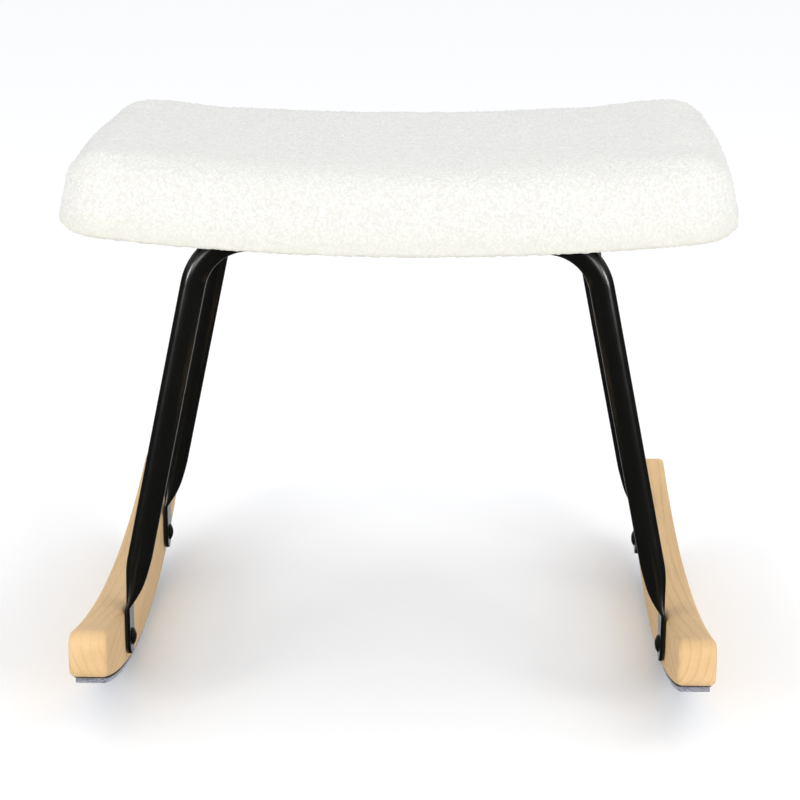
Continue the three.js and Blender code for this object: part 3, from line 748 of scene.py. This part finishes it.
BEFORE_NOSE = (6 * MM, 4 * MM, 2 * MM, 0.0)  # distances of the last rings before the nose's centre
ROCKER_RINGS = 40  # from the rocker's middle to the first of those
NOSE_ANGLES = np.arange(8, 90, 6.5)  # in degrees, of the rings round the nose
NOSE_NARROWING = 0.9  # how far its tip narrows at each side, as a share of the edge radius


def make_rocker(name, side, material):
    middle_x = side * (ROCKER_LOW.x + ROCKER_HIGH.x) / 2
    half_width = (ROCKER_HIGH.x - ROCKER_LOW.x) / 2
    end, edge = ROCKER_HIGH.y, ROCKER_EDGE_RADIUS
    nose_y = rocker_centres()[0]
    stations = list(np.linspace(0, nose_y - BEFORE_NOSE[0], ROCKER_RINGS))
    stations += [nose_y - before for before in BEFORE_NOSE[1:]]
    stations += [nose_y + ROCKER_NOSE_RADIUS * math.sin(math.radians(a)) for a in NOSE_ANGLES]
    stations += [end]
    stations = [-s for s in reversed(stations[1:])] + stations
    rings = []
    for y in stations:
        under, over = rocker_heights(y)
        into_nose = max(abs(y) - (end - edge), 0)
        pulled_in = edge - math.sqrt(max(edge ** 2 - into_nose ** 2, 0))
        width = half_width - pulled_in * NOSE_NARROWING
        section = rounded_box_ring(under, over, width, edge)
        rings.append([(middle_x + across, y, z) for across, z in section])
    points, faces = skinned(rings)
    piece = mesh_object(name + "_wood", points, [tuple(reversed(f)) for f in faces], material)
    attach(piece, ROOT)
    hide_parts(name)


GLIDE_STEPS = 150
GLIDE_EDGE_SHARE = 0.22  # rounding of its edges, as a share of its thickness
FELT_THICKNESS = 3.9 * MM
FELT_RAGGEDNESS = 0.12 * MM
TAPE_THICKNESS = 0.9 * MM


def make_glide(name, side, low, high, thickness, raggedness, material):
    """A strip that follows the rocker's underside. Its points stray by about the raggedness."""
    centre_z = ROCKER_LOW.z + ROCKER_BOTTOM_RADIUS
    middle_x = side * (low.x + high.x) / 2
    half_width = (high.x - low.x) / 2
    outer = centre_z - low.z
    half_angle = math.asin(high.y / outer)
    rings = []
    for i in range(GLIDE_STEPS + 1):
        angle = -half_angle + 2 * half_angle * i / GLIDE_STEPS
        section = rounded_box_ring(outer - thickness, outer, half_width, thickness * GLIDE_EDGE_SHARE)
        jitter = RNG.normal(0, raggedness, len(section))
        ring = []
        for wobble, (across, radius) in zip(jitter, section):
            ring.append((middle_x + across + wobble, radius * math.sin(angle),
                         centre_z - (radius - abs(wobble)) * math.cos(angle)))
        rings.append(ring)
    points, faces = skinned(rings)
    piece = mesh_object(name + "_strip", points, faces, material)
    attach(piece, ROOT)
    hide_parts(name)


# ---- Fasteners ----

ROCKER_BOLT = {"head_radius": 7.3 * MM, "head_height": 3 * MM, "socket_half": 2.5 * MM,
               "socket_depth": 2 * MM, "shank_radius": 4 * MM}
SEAT_BOLT = {"head_radius": 6 * MM, "head_height": 2 * MM, "socket_half": 2 * MM,
             "socket_depth": 1.5 * MM, "shank_radius": 3 * MM}
DOME_SHARE = 0.8  # how much of the head's height its dome takes
DOME_STEPS = 8
HEAD_WITHIN = 0.9  # how much of the head's height lies within the CAD bolt's length
SOCKET_BEVEL = 0.12 * MM
BOLT_EDGE = 0.25 * MM
SHANK_CHAMFER = 0.6 * MM
HEAD_SIDES = 48


def hexagon(angle, half_width):
    """Distance from the middle of a hexagon to its edge in a direction."""
    nearest = (angle + math.pi / 6) % (math.pi / 3) - math.pi / 6
    return half_width / math.cos(nearest)


def domed_head_rings(head_radius, head_height, socket_half, socket_depth):
    """Rings of (radius, angle, height) from the socket's floor out over the dome to the underside."""
    angles = [2 * math.pi * i / HEAD_SIDES for i in range(HEAD_SIDES)]
    rise = head_height * DOME_SHARE
    dome = (head_radius ** 2 + rise ** 2) / (2 * rise)

    def dome_height(radius):
        return head_height - dome + math.sqrt(dome ** 2 - radius ** 2)

    floor = head_height - socket_depth
    rings = [[(hexagon(a, socket_half) * share, a, floor) for a in angles] for share in (0.02, 0.97)]
    lip = dome_height(socket_half * 1.05)
    rings.append([(hexagon(a, socket_half), a, floor + 0.1 * MM) for a in angles])
    rings.append([(hexagon(a, socket_half), a, lip - BOLT_EDGE) for a in angles])
    rings.append([(hexagon(a, socket_half) + SOCKET_BEVEL, a, lip - 0.05 * MM) for a in angles])
    start = socket_half * 1.28
    for i in range(DOME_STEPS + 1):
        radius = start + (head_radius - start) * math.sin(math.pi / 2 * i / DOME_STEPS)
        rings.append([(radius, a, dome_height(radius)) for a in angles])
    rings.append([(head_radius, a, BOLT_EDGE) for a in angles])
    rings.append([(head_radius - BOLT_EDGE, a, 0.0) for a in angles])
    return rings


def make_bolt(node, axis, material, head_radius, head_height, socket_half, socket_depth, shank_radius):
    """A domed socket bolt whose head faces along axis, in the place of the CAD bolt."""
    low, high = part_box(node)
    centre = (low + high) / 2
    length = sum(abs(axis[i]) * (high[i] - low[i]) for i in range(3))
    tip = centre - Vector(axis) * length / 2
    rings = domed_head_rings(head_radius, head_height, socket_half, socket_depth)
    shank = length - head_height * HEAD_WITHIN
    angles = [a for _, a, _ in rings[0]]
    rings.append([(shank_radius, a, 0.0) for a in angles])
    rings.append([(shank_radius, a, SHANK_CHAMFER - shank) for a in angles])
    rings.append([(shank_radius - SHANK_CHAMFER, a, -shank) for a in angles])
    turn = Vector(axis).to_track_quat("Z", "Y").to_matrix().to_4x4()
    place = Matrix.Translation(tip + Vector(axis) * shank) @ turn
    placed = [[place @ Vector((r * math.cos(a), r * math.sin(a), h)) for r, a, h in ring] for ring in rings]
    points, faces = skinned(placed)
    piece = mesh_object(node + "_domed", points, faces, material)
    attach(piece, ROOT)
    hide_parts(node)


# ---- Underside ----

LINING_END_MARGIN = 5 * MM
LINING_SIDE_MARGIN = 4 * MM
LINING_SHEET_THICKNESS = 0.5 * MM
LINING_DROP = 0.6 * MM  # the sheet lies this far below the CAD lining's lowest face
STAPLE_DROP = 0.75 * MM  # and the staples this far below the sheet
LINING_COLUMNS, LINING_ROWS = 120, 80
PUCKER_HEIGHT = 0.35 * MM
PUCKER_REACH = 14 * MM
PUCKER_SPACING = 24 * MM
STAPLE_CROWN = 10 * MM
STAPLE_WIRE = 0.5 * MM
STAPLE_HALF_WIDTH = 0.7 * STAPLE_WIRE
STAPLE_HALF_THICKNESS = 0.45 * STAPLE_WIRE
STAPLE_LEG = 0.9 * MM
STAPLE_INSET = 7 * MM
STAPLE_SPACING = 34 * MM
STAPLE_SKEW = 0.12
STAPLE_WIRE_SIDES = 8


def staple_places(half_x, half_y):
    """The middle (x, y) of each staple round the sheet's edge, and whether it lies along X."""
    places = []
    across, deep = half_x - STAPLE_INSET, half_y - STAPLE_INSET
    count_x, count_y = round(2 * across / STAPLE_SPACING), round(2 * deep / STAPLE_SPACING)
    for side in (-1, 1):
        for i in range(count_x):
            places.append(((2 * (i + 0.5) / count_x - 1) * across, side * deep, True))
        for i in range(count_y):
            places.append((side * across, (2 * (i + 0.5) / count_y - 1) * deep, False))
    return places


def make_staples(half_x, half_y, radius, material):
    """Flat wire staples just below the sheet, each with its two ends bent up into it."""
    points, faces = [], []
    half = STAPLE_CROWN / 2
    bent_wire = ((-half, -STAPLE_LEG), (-half, 0.0), (-half + STAPLE_WIRE, STAPLE_WIRE),
                 (half - STAPLE_WIRE, STAPLE_WIRE), (half, 0.0), (half, -STAPLE_LEG))
    for x, y, along_x in staple_places(half_x, half_y):
        skew = RNG.uniform(-STAPLE_SKEW, STAPLE_SKEW) + (0 if along_x else math.pi / 2)
        rings = []
        for reach, drop in bent_wire:
            ring = []
            for i in range(STAPLE_WIRE_SIDES):
                angle = 2 * math.pi * i / STAPLE_WIRE_SIDES
                wide = STAPLE_HALF_WIDTH * math.cos(angle)
                thick = STAPLE_HALF_THICKNESS * math.sin(angle)
                px = x + reach * math.cos(skew) - wide * math.sin(skew)
                py = y + reach * math.sin(skew) + wide * math.cos(skew)
                ring.append((px, py, SEAT_CENTRE_Z - math.sqrt((radius + drop + thick) ** 2 - px ** 2)))
            rings.append(ring)
        new_points, new_faces = skinned(rings)
        faces += [tuple(len(points) + k for k in face) for face in new_faces]
        points += new_points
    piece = mesh_object("seat_lining_staples", points, faces, material)
    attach(piece, ROOT)
    return piece


def make_lining(material, staple_material):
    """The black sheet under the board, with soft puckers along its edges, and its staples."""
    half_x, half_y = LINING_HIGH.x + LINING_END_MARGIN, LINING_HIGH.y + LINING_SIDE_MARGIN
    radius = SEAT_CENTRE_Z - LINING_LOW.z + LINING_DROP
    points, faces = [], []
    for j in range(LINING_ROWS + 1):
        for i in range(LINING_COLUMNS + 1):
            x = (2 * i / LINING_COLUMNS - 1) * half_x
            y = (2 * j / LINING_ROWS - 1) * half_y
            edge = min(half_x - abs(x), half_y - abs(y))
            along = x if half_y - abs(y) < half_x - abs(x) else y
            wave = math.sin(along * 2 * math.pi / PUCKER_SPACING)
            pucker = math.exp(-edge / PUCKER_REACH) * PUCKER_HEIGHT * wave
            points.append((x, y, SEAT_CENTRE_Z - math.sqrt((radius + pucker) ** 2 - x ** 2)))
    row = LINING_COLUMNS + 1
    for j in range(LINING_ROWS):
        for i in range(LINING_COLUMNS):
            a = j * row + i
            faces.append((a, a + row, a + row + 1, a + 1))
    piece = mesh_object("seat_lining_sheet", points, faces, material)
    thick = piece.modifiers.new("thickness", "SOLIDIFY")
    thick.thickness = LINING_SHEET_THICKNESS
    thick.offset = -1
    apply_modifiers(piece)
    piece.data.shade_smooth()
    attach(piece, ROOT)
    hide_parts("seat_lining")
    staples = make_staples(half_x, half_y, radius + STAPLE_DROP, staple_material)


# ---- Carried-over CAD nodes ----

def dress_node(node, material):
    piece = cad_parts[node]
    piece.data.materials.clear()
    piece.data.materials.append(material)


# ---- Build ----

PITH_X = 190 * MM  # the growth rings lie about a line along Y, at this distance from the middle
PITH_Z = 88 * MM
GRAIN_SHIFT = (0.37, 0.21, 0.05)  # moves the grain's pattern, the other way along X in the left rocker


def make_rockers():
    felt, tape = felt_material(), tape_material()
    for side_name, side in (("left", -1), ("right", 1)):
        shift = (side * GRAIN_SHIFT[0], GRAIN_SHIFT[1], GRAIN_SHIFT[2])
        wood = wood_material(f"beech_{side_name}", (side * PITH_X, PITH_Z), shift)
        make_rocker(f"{side_name}_rocker", side, wood)
        make_glide(f"{side_name}_glide_felt", side, FELT_LOW, FELT_HIGH,
                   FELT_THICKNESS, FELT_RAGGEDNESS, felt)
        make_glide(f"{side_name}_glide_tape", side, TAPE_LOW, TAPE_HIGH,
                   TAPE_THICKNESS, 0.0, tape)


def make_fasteners(zinc):
    black_steel, plastic = black_steel_material(), plastic_material()
    for end in ("front", "rear"):
        for side_name, side in (("left", -1), ("right", 1)):
            corner = f"{end}_{side_name}"
            make_bolt(f"{corner}_rocker_bolt", (-side, 0, 0), black_steel, **ROCKER_BOLT)
            make_bolt(f"{corner}_seat_bolt", (0, 0, -1), black_steel, **SEAT_BOLT)
            dress_node(f"{corner}_saddle", plastic)
            dress_node(f"{corner}_tee_nut", zinc)
            dress_node(f"{corner}_insert_nut", zinc)


def make_hoops():
    steel = coated_steel_material()
    make_hoop("front_leg_hoop", FRONT_HOOP_Y, steel)
    make_hoop("rear_leg_hoop", -FRONT_HOOP_Y, steel)


zinc_steel = zinc_material()
make_seat(boucle_material())
make_hoops()
make_rockers()
make_fasteners(zinc_steel)
make_lining(lining_material(), zinc_steel)
dress_node("seat_board", plywood_material())


# ---- Stage ----

FLOOR_HALF_SIZE = 30.0


def make_floor():
    """A white floor with a faint glow of its own, which the object's glossy parts don't reflect."""
    n = Nodes("floor_white")
    n.set(Base_Color=grey(0.97), Roughness=0.9, Specular_IOR_Level=0.0)
    n.set(Emission_Color=(1.0, 0.99, 0.97), Emission_Strength=0.04)
    size = FLOOR_HALF_SIZE
    corners = [(-size, -size, 0), (size, -size, 0), (size, size, 0), (-size, size, 0)]
    floor = mesh_object("floor", corners, [(0, 1, 2, 3)], n.material, smooth=False)
    floor.visible_glossy = False


CAMERA_PLACE = (0.0383, -1.8983, 0.7565)
CAMERA_YAW = math.radians(-1.151)
CAMERA_PITCH = math.radians(16.065)
CAMERA_ROLL = math.radians(0.386)
CAMERA_LENS = 103.5  # in millimetres, like the sensor's width
CAMERA_SENSOR = 36.0


def make_camera():
    yaw, pitch, roll = CAMERA_YAW, CAMERA_PITCH, CAMERA_ROLL
    forward = Vector((math.sin(yaw) * math.cos(pitch), math.cos(yaw) * math.cos(pitch), -math.sin(pitch)))
    level = Vector((math.cos(yaw), -math.sin(yaw), 0))
    upward = level.cross(forward)
    right = math.cos(roll) * level + math.sin(roll) * upward
    up = math.cos(roll) * upward - math.sin(roll) * level
    data = bpy.data.cameras.new("camera")
    data.lens, data.sensor_width = CAMERA_LENS, CAMERA_SENSOR
    data.clip_end = 100.0
    camera = bpy.data.objects.new("camera", data)
    turn = Matrix((right, up, -forward)).transposed().to_4x4()
    camera.matrix_world = Matrix.Translation(CAMERA_PLACE) @ turn
    bpy.context.scene.collection.objects.link(camera)
    bpy.context.scene.camera = camera


LIGHT_DISTANCE = 3.0
LIGHT_AIM = Vector((0, 0, 0.3))


def add_softbox(name, azimuth, elevation, width, height, power, color=(1, 1, 1), shine_only=False):
    """A soft light at an azimuth measured from straight in front towards +X, in degrees."""
    turn, rise = math.radians(azimuth), math.radians(elevation)
    toward = Vector((math.sin(turn) * math.cos(rise), -math.cos(turn) * math.cos(rise), math.sin(rise)))
    data = bpy.data.lights.new(name, "AREA")
    data.shape, data.size, data.size_y = "RECTANGLE", width, height
    data.energy, data.color = power, color
    light = bpy.data.objects.new(name, data)
    light.location = LIGHT_AIM + toward * LIGHT_DISTANCE
    light.rotation_euler = toward.to_track_quat("Z", "Y").to_euler()
    light.visible_diffuse = not shine_only
    bpy.context.scene.collection.objects.link(light)


def make_lights():
    """At each side a warm softbox and a narrow strip that only glossy parts show, and a weak key light."""
    warm = (1.0, 0.988, 0.95)
    for name, side in (("left", -1), ("right", 1)):
        add_softbox(f"{name}_strip", azimuth=side * 64, elevation=8,
                    width=0.3, height=0.6, power=38, shine_only=True)
        add_softbox(f"{name}_softbox", azimuth=side * 42, elevation=14,
                    width=0.8, height=0.8, power=23, color=warm)
    add_softbox("key_softbox", azimuth=82, elevation=50, width=1.5, height=1.5, power=6)


def world_shade(tree, value, low, high, dim, bright):
    """A brightness that goes smoothly from dim to bright as the value goes from low to high."""
    shade = tree.nodes.new("ShaderNodeMapRange")
    shade.interpolation_type = "SMOOTHSTEP"
    shade.inputs["From Min"].default_value = low
    shade.inputs["From Max"].default_value = high
    shade.inputs["To Min"].default_value = dim
    shade.inputs["To Max"].default_value = bright
    tree.links.new(value, shade.inputs["Value"])
    return shade.outputs["Result"]


def make_world():
    """A dome that is bright overhead and a bright backdrop behind. The camera sees plain white."""
    world = bpy.data.worlds.new("studio")
    world.use_nodes = True
    tree = world.node_tree
    dome = tree.nodes["Background"]
    dome.inputs["Color"].default_value = (0.968, 0.976, 1.0, 1.0)
    direction = tree.nodes.new("ShaderNodeTexCoord")
    split = tree.nodes.new("ShaderNodeSeparateXYZ")
    tree.links.new(direction.outputs["Generated"], split.inputs["Vector"])
    overhead = world_shade(tree, split.outputs["Z"], low=0.0, high=0.5, dim=0.03, bright=1.04)
    backdrop = world_shade(tree, split.outputs["Y"], low=0.80, high=0.95, dim=0.0, bright=0.8)
    brightest = tree.nodes.new("ShaderNodeMath")
    brightest.operation = "MAXIMUM"
    tree.links.new(overhead, brightest.inputs[0])
    tree.links.new(backdrop, brightest.inputs[1])
    tree.links.new(brightest.outputs["Value"], dome.inputs["Strength"])
    white = tree.nodes.new("ShaderNodeBackground")
    white.inputs["Color"].default_value = (1, 1, 1, 1)
    paths = tree.nodes.new("ShaderNodeLightPath")
    choose = tree.nodes.new("ShaderNodeMixShader")
    tree.links.new(paths.outputs["Is Camera Ray"], choose.inputs["Fac"])
    tree.links.new(dome.outputs["Background"], choose.inputs[1])
    tree.links.new(white.outputs["Background"], choose.inputs[2])
    tree.links.new(choose.outputs["Shader"], tree.nodes["World Output"].inputs["Surface"])
    bpy.context.scene.world = world


bpy.context.scene.view_settings.view_transform = "Standard"
make_floor()
make_camera()
make_world()
make_lights()
